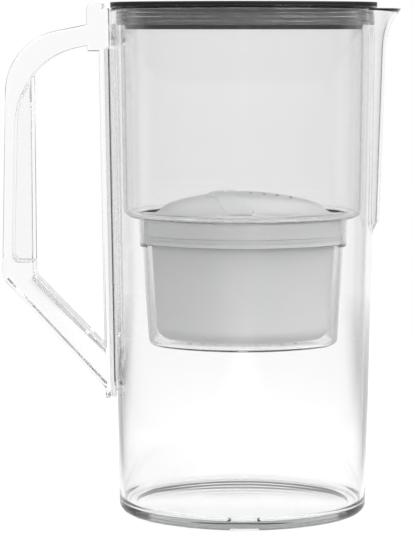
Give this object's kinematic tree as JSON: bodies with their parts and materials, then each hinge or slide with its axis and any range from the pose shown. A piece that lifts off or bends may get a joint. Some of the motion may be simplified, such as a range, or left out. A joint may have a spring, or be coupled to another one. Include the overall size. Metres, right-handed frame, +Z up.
{
  "type": "water filter pitcher",
  "caption": "Clear oval jug with a spout and a slide-on handle, holding a hanging reservoir, a filter cartridge in its well, and a dark lid with a fill flap and a change dial.",
  "frame": {"origin": "centre of the foot, on the plane that the jug stands on", "axes": "+Z up, +X towards the spout, handle towards -X"},
  "size_m": [0.2098, 0.113, 0.2706],
  "materials": {
    "clear_plastic": "clear, polished",
    "pale_clear_plastic": "pale grey, see-through",
    "white_plastic": "satin",
    "pale_rubber": "soft",
    "screen_plastic": "satin",
    "fleece": "felted",
    "granules": "granular bed",
    "dark_plastic": "satin",
    "dark_rubber": "soft",
    "grey_plastic": "satin",
    "pin_steel": "drawn wire"
  },
  "bodies": {
    "jug": {"jug_body": "clear_plastic", "handle": "clear_plastic"},
    "reservoir": {"reservoir": "pale_clear_plastic"},
    "cartridge": {"cartridge_cup": "white_plastic", "cartridge_cap": "white_plastic", "cartridge_seal": "pale_rubber", "top_screen": "screen_plastic", "bottom_screen": "screen_plastic", "top_fleece": "fleece", "bottom_fleece": "fleece", "filter_granules": "granules"},
    "lid": {"lid_shell": "dark_plastic", "lid_seal": "dark_rubber", "flap_hinge_pin": "pin_steel", "dial_cap": "dark_plastic"},
    "flap": {"fill_flap": "dark_plastic"},
    "dial": {"change_dial": "grey_plastic"}
  },
  "joints": [
    {"name": "reservoir_lift", "type": "slide", "parent": "jug", "child": "reservoir", "axis": [0, 0, 1], "range_m": [0, 0.19]},
    {"name": "cartridge_lift", "type": "slide", "parent": "reservoir", "child": "cartridge", "axis": [0, 0, 1], "range_m": [0, 0.08]},
    {"name": "lid_lift", "type": "slide", "parent": "reservoir", "child": "lid", "axis": [0, 0, 1], "range_m": [0, 0.08]},
    {"name": "flap_hinge", "type": "hinge", "parent": "lid", "child": "flap", "pos_m": [-0.0408, 0, 0.2684], "axis": [0, -1, 0], "range_deg": [0, 90]},
    {"name": "dial_turn", "type": "hinge", "parent": "lid", "child": "dial", "pos_m": [0.036, 0, 0.2695], "axis": [0, 0, 1], "continuous": true}
  ]
}
